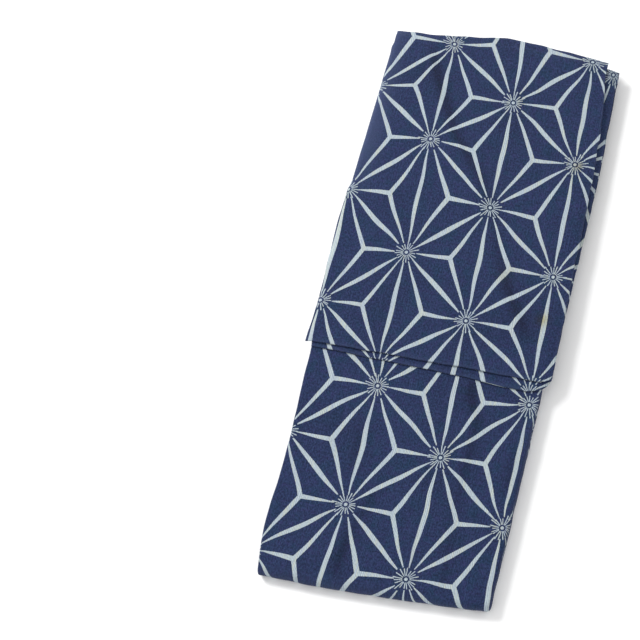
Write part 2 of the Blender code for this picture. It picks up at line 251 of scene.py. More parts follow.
def creaseRelief(x, y, table):
    # each crease is a soft ridge or trough about a segment, fading over its last third
    total = 0.0 * (x + y)
    for x1, y1, x2, y2, height, width in table:
        dx, dy = x2 - x1, y2 - y1
        length = math.hypot(dx, dy)
        run = robe["creaseFade"] * length
        along = ((x - x1) * dx + (y - y1) * dy) / length
        share = np.clip(along / length, 0, 1)
        off = np.hypot(x - x1 - dx * share, y - y1 - dy * share)
        fade = ease(along / run) * ease((length - along) / run)
        total = total + height * bell(off, width) * fade
    return total


def stepRelief(x, y, tables):
    # Each crease runs along the cloth, which rises slowly to it and drops off on its right. The rows of
    # its table are y, where it lies across, and its height there. Gives the relief, and the painted shade
    # that darkens the cloth on the crease's steep side.
    rise, drop = robe["stepRise"], robe["stepDrop"]
    relief, paintedShade = 0.0 * (x + y), 0.0 * (x + y)
    for table in tables:
        off = x - smoothRow(table, 1, y)
        height = np.maximum(smoothRow(table, 2, y), 0)
        relief = relief + height * np.exp(np.minimum(off, 0) / rise) * (1 - ease(off / drop))
        # the painted shade: full on the steep side of the drop, and fainter past it
        steep = bell(off - drop / 2, robe["stepWidth"] * drop)
        tail = robe["stepTail"] * ease(off / drop) * np.exp(-np.maximum(off, 0) / rise)
        paintedShade = paintedShade + height / robe["stepFull"] * (steep + tail)
    return relief, np.clip(paintedShade, 0, 1)


def foldBow(y, share):
    # how far the body's length bows out towards the half-length fold, at the middle of the width
    start = robe["bowStart"]
    return -robe["foldBow"] * 4 * share * (1 - share) * ease((y + start) / (robe["foldY"] + start))


def bodySide(column, y, share):
    # the body's side seam edge (1) or centre back edge (2) at y, and at a share of its width
    return smoothRow(bodyEdges, column, y / leanShare(share))


def layBody(x, y, z):
    # puts points of the straight stack where the body lies: edges, slanted ends, settled height
    share = (x - robe["left"]) / meanWidth
    leftEdge = smoothRow(bodyEdges, 1, y) + wobble(y, 11, robe["uneven"] * 0.6)
    rightEdge = smoothRow(bodyEdges, 2, y) + wobble(y, 12, robe["uneven"] * 0.8)
    laidY = y * leanShare(share) + foldBow(y, share)
    laidY = laidY + wobble(x, 13, robe["uneven"] * 0.6) * ease((-y - 0.25) / 0.15)
    return np.stack([leftEdge + share * (rightEdge - leftEdge), laidY, z * settleShare(y)], axis=-1)


def unit(way):
    # vectors brought to length one
    return way / np.maximum(np.linalg.norm(way, axis=-1, keepdims=True), 1e-12)


# shares of half the wall, across it and outwards, round a rim
rimRound = np.array([(0.85, 0.50), (0.45, 0.88), (0.0, 1.0), (-0.45, 0.88), (-0.85, 0.50)])


def buildWall(name, outer, inner, prints, marks, lap=None):
    # A closed wall between two grids of points, with a round rim. With lap, the rows close into a ring,
    # and lap is how far the print runs round it at each column.
    rows, columns = outer.shape[:2]
    count = rows * columns
    grid = np.arange(count).reshape(rows, columns)
    ringed = lap is not None
    faceGrid = np.vstack([grid, grid[:1]]) if ringed else grid
    cells = np.stack([faceGrid[:-1, :-1], faceGrid[:-1, 1:], faceGrid[1:, 1:], faceGrid[1:, :-1]], -1)
    cells = cells.reshape(-1, 4)
    middle = (outer + inner) / 2
    away = np.zeros_like(middle)
    away[:, 0] += unit(middle[:, 0] - middle[:, 1])
    away[:, -1] += unit(middle[:, -1] - middle[:, -2])
    if not ringed:
        away[0] += unit(middle[0] - middle[1])
        away[-1] += unit(middle[-1] - middle[-2])
    away = unit(away).reshape(-1, 3)
    if ringed:
        borders = [grid[::-1, 0], grid[:, -1]]
    else:
        borders = [np.concatenate([grid[0], grid[1:, -1], grid[-1, -2::-1], grid[-2:0:-1, 0]])]
    points = [outer.reshape(-1, 3), inner.reshape(-1, 3)]
    flatPrint = prints.reshape(-1, 2)
    flatMarks = marks.reshape(-1, marks.shape[-1])
    allPrint = [flatPrint, flatPrint]
    allMarks = [flatMarks, flatMarks]
    allLap = [np.broadcast_to(lap, (rows, columns)).reshape(-1)] * 2 if ringed else []
    faces = [cells, cells[:, ::-1] + count]
    made = 2 * count
    for border in borders:
        top, low = points[0][border], points[1][border]
        half = (top - low) / 2
        reach = np.linalg.norm(half, axis=1, keepdims=True)
        loops = [border]
        for across, out in rimRound:
            points.append((top + low) / 2 + half * across + away[border] * reach * out)
            allPrint.append(flatPrint[border])
            allMarks.append(flatMarks[border])
            if ringed:
                allLap.append(allLap[0][border])
            loops.append(made + np.arange(len(border)))
            made += len(border)
        loops.append(border + count)
        for one, two in zip(loops, loops[1:]):
            faces.append(np.stack([np.roll(one, -1), one, two, np.roll(two, -1)], -1))
    points = np.concatenate(points)
    faces = np.concatenate(faces)
    corners = points[faces]
    volume = np.linalg.det(corners[:, (0, 1, 2)]).sum() + np.linalg.det(corners[:, (0, 2, 3)]).sum()
    if volume < 0:
        faces = faces[:, ::-1]
    printCorners = np.concatenate(allPrint)[faces]
    if ringed:
        laps = np.concatenate(allLap)[faces]
        v = printCorners[..., 1]
        far = v.max(axis=1, keepdims=True) - v > robe["ringJump"]
        printCorners[..., 1] = v + far * laps
    points = points - np.array(robe["middle"])
    mesh = bpy.data.meshes.new(name)
    mesh.from_pydata(points, [], faces)
    mesh.uv_layers.new(name="print").data.foreach_set("uv", printCorners.astype(np.float32).ravel())
    markValues = np.concatenate(allMarks)
    # the wear mark also carries a painted highlight, and the crease mark is painted shade
    for column, markName in enumerate(("stain", "wear", "crease")):
        layer = mesh.attributes.new(markName, "FLOAT", "POINT")
        layer.data.foreach_set("value", np.ascontiguousarray(markValues[:, column], np.float32))
    mesh.shade_smooth()
    piece = bpy.data.objects.new(name, mesh)
    bpy.context.scene.collection.objects.link(piece)
    return piece


# Shader arithmetic
class Wire:
    # a shader socket that takes part in plain arithmetic
    def __init__(self, dye, socket):
        self.dye = dye
        self.socket = socket

    def math(self, kind, *others, clamp=False):
        return self.dye.math(kind, self, *others, clamp=clamp)

    def __add__(self, other):
        return self.math("ADD", other)

    __radd__ = __add__

    def __sub__(self, other):
        return self.math("SUBTRACT", other)

    def __rsub__(self, other):
        return self.dye.math("SUBTRACT", other, self)

    def __mul__(self, other):
        return self.math("MULTIPLY", other)

    __rmul__ = __mul__

    def __truediv__(self, other):
        return self.math("DIVIDE", other)

    def __abs__(self):
        return self.math("ABSOLUTE")

    def __round__(self):
        return self.math("ROUND")

    def top(self, other):
        return self.math("MAXIMUM", other)

    def inside(self, soft):
        # 1 where the value is above zero, with an edge soft wide
        return self.math("MULTIPLY_ADD", 1 / soft, 0.5, clamp=True)

    def rise(self, start, end):
        # 0 to 1 from start to end, clamped
        return self.math("MULTIPLY_ADD", 1 / (end - start), -start / (end - start), clamp=True)


class Dye:
    # one material and its nodes
    def __init__(self, name):
        self.material = bpy.data.materials.new(name)
        self.material.use_nodes = True
        self.tree = self.material.node_tree
        self.shader = self.tree.nodes["Principled BSDF"]

    def put(self, socket, value):
        if isinstance(value, Wire):
            self.tree.links.new(value.socket, socket)
        else:
            socket.default_value = value

    def node(self, kind, settings, sockets, out=0):
        # settings first, then the values or links of the sockets; out may name several outputs
        made = self.tree.nodes.new(kind)
        for key, value in settings.items():
            setattr(made, key, value)
        for key, value in sockets.items():
            self.put(made.inputs[key], value)
        if isinstance(out, tuple):
            return [Wire(self, made.outputs[k]) for k in out]
        return Wire(self, made.outputs[out])

    def math(self, kind, *values, clamp=False):
        return self.node("ShaderNodeMath", {"operation": kind, "use_clamp": clamp}, dict(enumerate(values)))

    def mix(self, factor, one, two, blend="MIX"):
        return self.node("ShaderNodeMix", {"data_type": "RGBA", "blend_type": blend, "clamp_factor": True},
                         {0: factor, 6: one, 7: two}, out=2)

    def vector(self, x, y):
        return self.node("ShaderNodeCombineXYZ", {}, {0: x, 1: y})

    def mark(self, name):
        # what the mesh carries at its points under this name
        return self.node("ShaderNodeAttribute", {"attribute_name": name}, {}, out=2)

    def noise(self, place, scale, detail=2.0, rough=0.5, out=0):
        return self.node("ShaderNodeTexNoise", {"noise_dimensions": "2D"},
                         {"Vector": place, "Scale": scale, "Detail": detail, "Roughness": rough}, out)


def linear(red, green, blue):
    # a colour read as 0 to 255 on screen, as light
    def one(c):
        c = c / 255
        return c / 12.92 if c <= 0.04045 else ((c + 0.055) / 1.055) ** 2.4
    return (one(red), one(green), one(blue), 1.0)


cotton = {
    "across": 0.0985,  # width of the print's repeat
    "along": 0.1625,  # length of the print's repeat
    "joint": 0.59,  # where three strokes meet, as a share of the width from a star
    "clear": 0.140,  # strokes begin about this share of the width from a star's centre
    "uneven": 0.060,  # and vary by this much
    "thin": 0.011,  # stroke width near a star
    "broad": 0.062,  # stroke width at its broadest
    "dot": 0.022, "rayFrom": 0.044, "rayShort": 0.118, "rayLong": 0.182, "rayWidth": 0.0120,
    "rays": 19,
    "bend": 0.0038, "bendFrom": 0.40, "bendScale": 17.0,  # how the strokes bend by hand
    "edge": 0.00032,  # softness of a printed edge
    "fuzz": 0.0008, "fuzzScale": 1100.0,  # how the threads roughen it
    "starStray": 0.0011, "jointStray": 0.0006,  # how far uncharted stars and meeting points stray
    "ripple": 0.00028, "rippleReach": 0.060,  # and the whole print, in waves of this reach
    "indigo": linear(31, 46, 81), "indigoPurple": linear(43, 45, 90), "indigoTeal": linear(21, 50, 78),
    "indigoDeep": linear(23, 32, 64), "indigoWorn": linear(58, 69, 101), "indigoThread": linear(52, 67, 106),
    "indigoShade": linear(12, 19, 45),
    "pale": linear(176, 189, 193), "paleYellow": linear(190, 193, 172), "paleLilac": linear(161, 171, 197),
    "paleGrey": linear(150, 163, 176), "paleShade": linear(120, 133, 148),
    # worn and the worn blue also serve a painted highlight; the crease colour and depth paint shade into the blue
    "stain": linear(246, 228, 182), "worn": 0.30, "creaseDark": linear(150, 152, 165), "creaseDepth": 0.60,
    # noises drawn out along the threads: to the metre across and along, detail, roughness
    "drawnOut": {"warp": (720.0, 22.0, 2.0, 0.60), "weft": (26.0, 820.0, 2.0, 0.60),
                 "streak": (260.0, 9.0, 2.0, 0.55), "ribSway": (75.0, 4.0, 1.0, 0.50),
                 "speck": (480.0, 340.0, 3.0, 0.70)},
    # even noises: shift across and along, to the metre, detail, roughness
    "even": {"mottle": (0.0, 0.0, 150.0, 4.0, 0.66), "patch": (3.7, -1.9, 47.0, 3.0, 0.60),
             "cloud": (-2.3, 5.1, 9.0, 2.0, 0.50)},
    # what a colour takes on, one over the other: by which noise, from and to where, how much, its tint
    "blueLayers": [("mottle", 0.48, 0.64, 0.75, "indigoPurple"), ("patch", 0.50, 0.66, 0.85, "indigoTeal"),
                   ("cloud", 0.50, 0.76, 0.50, "indigoDeep"), ("warp", 0.50, 0.72, 0.50, "indigoThread"),
                   ("weft", 0.54, 0.76, 0.45, "indigoShade"), ("speck", 0.50, 0.66, 0.70, "indigoShade"),
                   ("speck", 0.48, 0.32, 0.60, "indigoThread")],
    "paleLayers": [("streak", 0.48, 0.64, 0.55, "paleYellow"), ("warp", 0.50, 0.66, 0.50, "paleLilac"),
                   ("mottle", 0.50, 0.75, 0.30, "paleGrey"), ("weft", 0.56, 0.74, 0.40, "paleGrey"),
                   ("speck", 0.52, 0.72, 0.40, "paleShade")],
    "blueFurrow": 0.45, "paleFurrow": 0.90,  # how dark the furrows between the ribs are
    "roughness": 0.88, "sheen": 0.06, "specular": 0.14,
    "weave": 0.00062,  # spacing of the threads
    "rib": 0.0018,  # spacing of the ribs along the warp
}


def printedCotton(name):
    # hemp-leaf print on plain weave: six strokes out of each star and three meeting between stars
    s = cotton
    dye = Dye(name)
    place = dye.node("ShaderNodeUVMap", {"uv_map": "print"}, {})
    plainU, plainV = dye.node("ShaderNodeSeparateXYZ", {}, {0: place}, out=(0, 1))
    # the drawing hand bends the strokes between the stars, and the threads roughen their edges
    c, p = s["across"], s["along"]
    plainColumn = round(plainU / c)
    plainOdd = abs(plainColumn.math("MODULO", 2.0)) * 0.5
    awayU = plainU - plainColumn * c
    awayV = plainV - (round(plainV / p - plainOdd) + plainOdd) * p
    fromStar = (awayU * awayU + awayV * awayV).math("SQRT").rise(s["rayShort"] * c, s["bendFrom"] * c)
    handNoise = dye.noise(place, s["bendScale"], 0.0, 0.4, out=1)
    threadNoise = dye.noise(place, s["fuzzScale"], 1.0, 0.5, out=1)
    u, v = plainU, plainV
    for noise, size in ((handNoise, fromStar * s["bend"]), (threadNoise, s["fuzz"])):
        shiftU, shiftV = dye.node("ShaderNodeSeparateColor", {}, {0: noise}, out=(0, 1))
        u, v = u + (shiftU - 0.5) * size, v + (shiftV - 0.5) * size

    column = round(u / c)
    odd = abs(column.math("MODULO", 2.0)) * 0.5
    row = round(v / p - odd)
    dx = u - column * c
    dy = v - (row + odd) * p
    a, b = abs(dx), abs(dy)

    # each stroke starts nearer to its star or further off, by place
    clear = dye.noise(dye.vector(plainU + 1.3, plainV + 0.7), 60.0, 0.0) * (2 * s["uneven"] * c)
    clear = clear + (s["clear"] - s["uneven"]) * c

    def stroke(off, along, end, broadAt, swell):
        # a stroke that starts thin and grows broad, off to the side by off
        grow = along.rise(s["clear"] * c, broadAt)
        grow = grow * ((1 + swell) - grow * swell)
        width = grow * ((s["broad"] - s["thin"]) * c) + s["thin"] * c
        body = (width * 0.5 - off).inside(s["edge"])
        return body * (along - clear).inside(s["edge"] * 3) * (end - along).inside(s["edge"])

    diagonal = math.hypot(c, p / 2)
    side = math.hypot((1 - s["joint"]) * c, p / 2)
    sx, sy = (1 - s["joint"]) * c / side, p / 2 / side
    qx, qy = c / diagonal, p / 2 / diagonal
    light = stroke(a, b, p, p / 2, 0.85)
    light = light.top(stroke(abs(a * qy - b * qx), a * qx + b * qy, diagonal, diagonal / 2, 0.9))
    light = light.top(stroke(b, a, s["joint"] * c, s["joint"] * c, 0.7))
    light = light.top(stroke(abs(a * sy - b * sx), a * sx + b * sy, side + 0.001, side, 0.7))
    light = light.top(stroke(abs(b - p / 2), c - a, s["joint"] * c, s["joint"] * c, 0.7))

    # the burst of short rays round each star's dot
    radius = (dx * dx + dy * dy).math("SQRT")
    turn = dy.math("ARCTAN2", dx) * (s["rays"] / (2 * math.pi))
    ray = round(turn)
    starSeed = dye.vector(ray, column * 7.0 + row * 3.0)
    chance = dye.node("ShaderNodeTexWhiteNoise", {"noise_dimensions": "3D"}, {"Vector": starSeed})
    length = chance * ((s["rayLong"] - s["rayShort"]) * c) + s["rayShort"] * c
    sway = (chance * 7.3).math("FRACT") * 0.44 - 0.22
    offRay = abs(turn - ray - sway) * radius * (2 * math.pi / s["rays"])
    taper = radius.rise(s["rayFrom"] * c, s["rayLong"] * c) * 0.35 + 0.80
    rays = (taper * (s["rayWidth"] * c / 2) - offRay).inside(s["edge"])
    rays = rays * (radius - s["rayFrom"] * c).inside(s["edge"]) * (length - radius).inside(s["edge"] * 2)
    dot = (s["dot"] * c - radius).inside(s["edge"])
    ringed = (radius - s["rayFrom"] * c * 0.86).inside(s["edge"])
    light = (light * ringed).top(rays).top(dot)

    # undyed threads: ribs and streaks run with the warp
    noises = {}
    for kind, (across, along, detail, rough) in s["drawnOut"].items():
        noises[kind] = dye.noise(dye.vector(plainU * across, plainV * along), 1.0, detail, rough)
    for kind, (shiftU, shiftV, scale, detail, rough) in s["even"].items():
        noises[kind] = dye.noise(dye.vector(plainU + shiftU, plainV + shiftV), scale, detail, rough)
    ribAt = plainU * (1 / s["rib"]) + noises["ribSway"] * 2.4
    furrow = abs(ribAt.math("FRACT") - 0.5).rise(0.24, 0.07) * (noises["warp"] + 0.30)

    def layered(colour, layers):
        # over the colour, each tint where its noise is high enough
        for kind, start, end, share, tint in layers:
            colour = dye.mix(noises[kind].rise(start, end) * share, colour, s[tint])
        return colour

    blue = layered(s["indigo"], s["blueLayers"])
    blue = dye.mix(furrow * s["blueFurrow"], blue, s["indigoShade"])
    # wear at the folds and edges lightens the blue, and the same mark carries a painted highlight on the topmost
    # sleeve's left turn
    blue = dye.mix(dye.mark("wear") * s["worn"], blue, s["indigoWorn"])
    # painted shade on the steep side of the creases, multiplied into the blue
    blue = dye.mix(dye.mark("crease") * s["creaseDepth"], blue, s["creaseDark"], blend="MULTIPLY")
    pale = layered(s["pale"], s["paleLayers"])
    pale = dye.mix(furrow * s["paleFurrow"], pale, s["paleShade"])
    colour = dye.mix(light, blue, pale)
    stained = dye.mark("stain") * (noises["mottle"] * 0.5 + 0.75)
    colour = dye.mix(stained, colour, s["stain"], blend="MULTIPLY")

    # plain weave: warp over weft, a little uneven
    threads = 2 * math.pi / s["weave"]
    over = (plainU * threads).math("SINE") * (plainV * threads).math("SINE")
    height = over * 0.35 + noises["warp"] * 1.3 + noises["weft"] * 0.9 - furrow * 1.1
    bump = dye.node("ShaderNodeBump", {}, {"Strength": 0.75, "Distance": 0.00019, "Height": height})
    finish = {"Base Color": colour, "Normal": bump, "Roughness": s["roughness"],
              "Specular IOR Level": s["specular"], "Sheen Weight": s["sheen"], "Sheen Roughness": 0.6}
    for socket, value in finish.items():
        dye.put(dye.shader.inputs[socket], value)
    return dye.material


robeCotton = printedCotton("indigo_cotton_print")
print("cotton ready")


def enter(piece, nodes, flat, restsOn):
    # gives a piece its cloth and tells the frame what it is
    piece.data.materials.append(robeCotton)
    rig.ride(piece, "root")
    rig.replaces(piece, *nodes)
    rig.slot(piece, "indigo_cotton")
    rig.sheet(piece, flat=flat, held="folded", rests_on=restsOn)
    print("piece", piece.name, len(piece.data.polygons), "faces")


# The body's panels
bodyPrint = {
    "star": (0.0358, -0.3758),  # a star of the print on the top of the body
    "turn": math.radians(-0.12),
    # how far single stars lie off the lattice by hand, in mm: (column, row): (across, along)
    "stars": {(0, 0): (-4.8, -2.7), (0, 1): (3, -0.7), (-1, 0): (-1.7, -3.3), (-1, 1): (3.1, -0.8),
              (1, 0): (-1.3, 3.7), (1, 1): (1, 7.9), (-2, 0): (-6, 0), (-2, 1): (-2, 0),
              (-1, -1): (-17, -10.5)},
    # and the points where three strokes meet, with 0 for a triangle whose pair of stars is on the left
    "joints": {(-2, -1, 1): (-1.8, -1.2), (-2, 0, 0): (-0.7, -2.7), (-2, 0, 1): (2.4, -1.7),
               (-2, 1, 0): (0.7, 0), (-1, -1, 0): (0, 0), (-1, 0, 0): (1.1, -0.7),
               (-1, 0, 1): (1.3, -2.6), (-1, 1, 1): (2.9, 0.9), (0, -1, 1): (-2.2, 0.6),
               (0, 0, 0): (1.1, -2.1), (0, 0, 1): (0.7, -2.1), (0, 1, 0): (0.9, -3.4)},
}
bodyRelief = {
    # x1, y1, x2, y2, height, width; y runs on past the fold as the cloth's own length
    "creases": [
        (0.112, -0.090, 0.118, -0.215, -0.00045, 0.0050),
        (0.102, -0.105, 0.110, -0.190, 0.00028, 0.0060),
        (-0.120, -0.130, -0.085, -0.330, 0.00030, 0.011), (-0.020, -0.120, -0.050, -0.300, -0.00026, 0.012),
        (0.060, -0.250, 0.020, -0.385, 0.00026, 0.012), (-0.130, -0.260, -0.140, -0.400, -0.00030, 0.007),
        (-0.060, -0.340, -0.050, -0.470, 0.00032, 0.008), (0.080, -0.360, 0.090, -0.480, -0.00030, 0.009),
        (-0.100, -0.480, -0.060, -0.660, 0.00035, 0.012), (0.030, -0.520, 0.055, -0.720, -0.00034, 0.011),
        (0.110, -0.600, 0.095, -0.780, 0.00030, 0.009), (-0.040, -0.820, -0.075, -1.010, -0.00033, 0.012),
        (0.060, -0.900, 0.040, -1.100, 0.00034, 0.013), (-0.120, -0.950, -0.100, -1.150, 0.00028, 0.010),
    ],
    # y, where the crease lies across and its height, for creases at which the cloth drops off to the right
    "steps": [
        np.array([(-0.3960, 0.0829, 0.0000), (-0.3710, 0.0817, 0.0009), (-0.3450, 0.0799, 0.0008),
                  (-0.3190, 0.0774, 0.0009), (-0.2930, 0.0749, 0.0005), (-0.2670, 0.0736, 0.0006),
                  (-0.2390, 0.0750, 0.0009), (-0.2120, 0.0753, 0.0014), (-0.1850, 0.0757, 0.0012),
                  (-0.1570, 0.0748, 0.0014), (-0.1310, 0.0624, 0.0020), (-0.1120, 0.0585, 0.0016),
                  (-0.0960, 0.0568, 0.0000)]),
        np.array([(-0.3990, -0.0506, 0.0000), (-0.3740, -0.0538, 0.0014), (-0.3510, -0.0502, 0.0016),
                  (-0.3230, -0.0444, 0.0011), (-0.2990, -0.0378, 0.0011), (-0.2730, -0.0290, 0.0008),
                  (-0.2440, -0.0194, 0.0000)]),
        np.array([(-0.2550, 0.1332, 0.0000), (-0.2290, 0.1323, 0.0012), (-0.2010, 0.1339, 0.0009),
                  (-0.1660, 0.1378, 0.0000)]),
        np.array([(-0.2650, -0.0597, 0.0000), (-0.2390, -0.0661, 0.0008), (-0.2180, -0.0668, 0.0009),
                  (-0.1770, -0.0671, 0.0000)]),
    ],
    "grain": 0.00012, "grainReach": 0.045,
    # the creases are this faint under the sleeves, and in full between here and there
    "covered": 0.35, "bareFrom": -0.105, "bareRun": 0.020, "bareTo": -1.2,
    "edgeRun": 0.012,  # they end this far from the side edges
    "foldStart": 0.012, "foldEnd": 0.045, "foldRun": 0.004, "inFold": 0.25,  # and are fainter round the fold
    "inside": 0.4,  # on the inner back
    "deepest": 0.00032,
}


def foldedPath(facing, depth, start, end, curl, topRows, foldRows, underRows):
    # Rows from the shoulder, over the top, round the half-length fold and back underneath:
    # y, z, normal y, normal z and the length along the cloth, which is y on the top.
    stack, centre = robe["stack"], robe["foldY"] + halfStack
    parts = []
    if curl:
        angle = np.radians(np.linspace(90, 6, 8))
        y = start - curl * (1 - np.sin(angle))
        z = stack - depth - facing * curl * (1 - np.cos(angle))
        length = start - curl + curl * angle
        parts.append(np.stack([y, z, np.sin(angle), facing * np.cos(angle), length], -1))
    # two rows more near the shoulder
    share = np.sort(np.concatenate([np.linspace(0, 1, topRows), [0.008, 0.020]]))
    y = start - curl + share * (centre - start + curl)
    parts.append(np.stack([y, y * 0 + stack - depth, y * 0, y * 0 + facing, y], -1))
    radius = halfStack - depth
    angle = np.radians(np.linspace(90, -90, foldRows))[1:-1]
    y, z = centre - radius * np.cos(angle), halfStack + radius * np.sin(angle)
    length = centre - radius * (np.pi / 2 - angle)
    parts.append(np.stack([y, z, -facing * np.cos(angle), facing * np.sin(angle), length], -1))
    y = np.linspace(centre, end, underRows)
    length = centre - np.pi * radius - (y - centre)
    parts.append(np.stack([y, y * 0 + depth, y * 0, y * 0 - facing, length], -1))
    return np.concatenate(parts)


def panelSection(leftCurl, rightCurl, ply, columns):
    # a flat sheet that turns in at both sides: x, depth, and the length across the cloth
    leftAngle = np.radians(np.linspace(90, 0, 7))
    rightAngle = np.radians(np.linspace(0, 90, 9))
    left, right = robe["left"] + leftCurl, robe["right"] - rightCurl
    leftRound, rightRound = leftCurl - ply, rightCurl - ply
    flat = np.linspace(left, right, columns)[1:-1]
    x = np.concatenate([left - leftRound * np.sin(leftAngle), flat, right + rightRound * np.sin(rightAngle)])
    depth = np.concatenate([leftCurl - leftRound * np.cos(leftAngle), flat * 0 + ply,
                            rightCurl - rightRound * np.cos(rightAngle)])
    run = np.concatenate([left - leftCurl * leftAngle, flat, right + rightCurl * rightAngle])
    return x, depth, run


latticeLow, latticeSize = -16, 40  # the strays cover this many columns and rows from the lowest one


def strayTable(shape, spread, chart, seed):
    # how far each place of the hand-drawn lattice lies off, across and along: seeded, but for the charted
    size = (latticeSize, latticeSize) + shape + (2,)
    table = spread * np.random.default_rng(seed).normal(size=size)
    for (column, row, *side), stray in chart.items():
        table[(column - latticeLow, row - latticeLow, *side)] = np.array(stray) / 1000
    return table


def strayAt(table, column, row, *side):
    # the stray of each place, held to the table's edges
    column, row = [np.clip(at - latticeLow, 0, latticeSize - 1) for at in (column, row)]
    return table[(column, row, *side)]


def strayPrint(u, v, settings, seed):
    # The stars of the lattice make triangles, and the print keeps to flat triangles between the stars
    # where they lie, so that its strokes stay straight. Inside one, the point where three strokes meet
    # strays too, and takes the print along as a tent does, down to nothing at the triangle's sides.
    c, p = cotton["across"], cotton["along"]
    strip = np.floor(u / c).astype(int)
    t = u / c - strip
    leftOdd, rightOdd = (strip % 2) * 0.5, ((strip + 1) % 2) * 0.5
    place = v / p - leftOdd - t / 2
    k = np.floor(place).astype(int)
    f = place - k
    placeTwo = v / p - rightOdd - (1 - t) / 2
    kTwo = np.floor(placeTwo).astype(int)
    fTwo = placeTwo - kTwo
    mid = np.round(k + leftOdd + 0.5 - rightOdd).astype(int)
    midTwo = np.round(kTwo + rightOdd + 0.5 - leftOdd).astype(int)
    t, f, fTwo = t[..., None], f[..., None], fTwo[..., None]
    stars = strayTable((), cotton["starStray"], settings["stars"], seed)
    joints = strayTable((2,), cotton["jointStray"], settings["joints"], seed + 9)
    one = (strayAt(stars, strip, k) * (1 - t - f) + strayAt(stars, strip, k + 1) * f
           + strayAt(stars, strip + 1, mid) * t)
    two = (strayAt(stars, strip + 1, kTwo) * (t - fTwo) + strayAt(stars, strip + 1, kTwo + 1) * fTwo
           + strayAt(stars, strip, midTwo) * (1 - t))
    lone, pair = 1 - cotton["joint"], cotton["joint"] / 2
    tent = np.minimum(t / lone, np.minimum(1 - t - f, f) / pair)
    tentTwo = np.minimum((1 - t) / lone, np.minimum(t - fTwo, fTwo) / pair)
    one = one + np.maximum(tent, 0) * strayAt(joints, strip, k, 0)
    two = two + np.maximum(tentTwo, 0) * strayAt(joints, strip, kTwo, 1)
    return np.where(f <= 1 - t, one, two)


def printOn(u, v, x, y, settings, seed):
    # the print's own coordinates: the cloth's, less the star, the turn and the stray
    du, dv = u - settings["star"][0], v - settings["star"][1]
    c, s = math.cos(settings["turn"]), math.sin(settings["turn"])
    flat = np.stack([du * c + dv * s, dv * c - du * s], -1)
    laid = flat - strayPrint(flat[..., 0], flat[..., 1], settings, seed)
    laid = flat - strayPrint(laid[..., 0], laid[..., 1], settings, seed)
    ripple = [softNoise(x, y, seed + k, cotton["rippleReach"]) for k in range(2)]
    return laid - cotton["ripple"] * np.stack(ripple, -1)


def bodyPanel(path, sections, relief, seed, marksAt=None):
    # Sweeps a section along the path. Sections are x and depth of the outer face, the same of the inner
    # one, and the length across the cloth.
    grids = []
    v = path[:, 4][:, None]
    for x, depth in sections[:2]:
        lift = relief(x, v + 0 * x)
        y = path[:, 0][:, None] - path[:, 2][:, None] * (depth - lift)
        z = path[:, 1][:, None] - path[:, 3][:, None] * (depth - lift)
        grids.append(layBody(x + 0 * y, y, z))
    run = sections[2]
    share = (run - robe["left"]) / meanWidth
    y0 = path[:, 0][:, None]
    leftEdge, rightEdge = smoothRow(bodyEdges, 1, y0), smoothRow(bodyEdges, 2, y0)
    u = leftEdge + share * (rightEdge - leftEdge)
    lean = (y0 * leanShare(share) + foldBow(y0, share) - y0) * path[:, 3][:, None]
    u, laid = np.broadcast_arrays(u, v + lean)
    prints = printOn(u, laid, u, laid, bodyPrint, seed)
    marks = np.zeros(grids[0].shape)
    if marksAt is not None:
        # painted shade on the steep side of the creases
        paintedShade = stepRelief(run + 0 * v, v + 0 * run, bodyRelief["steps"])[1]
        marks = marksAt(u, laid, paintedShade)
    return *grids, prints, marks


backPanel = {
    "flatWidth": 0.300, "flatLength": 1.590,
    "turnNear": 0.24, "turnRun": 0.016,  # how the side edges round out from the turned shoulder edge
    "foldWear": (0.006, 0.010), "sideWear": (0.146, 0.004),  # worn places: where and how wide
}


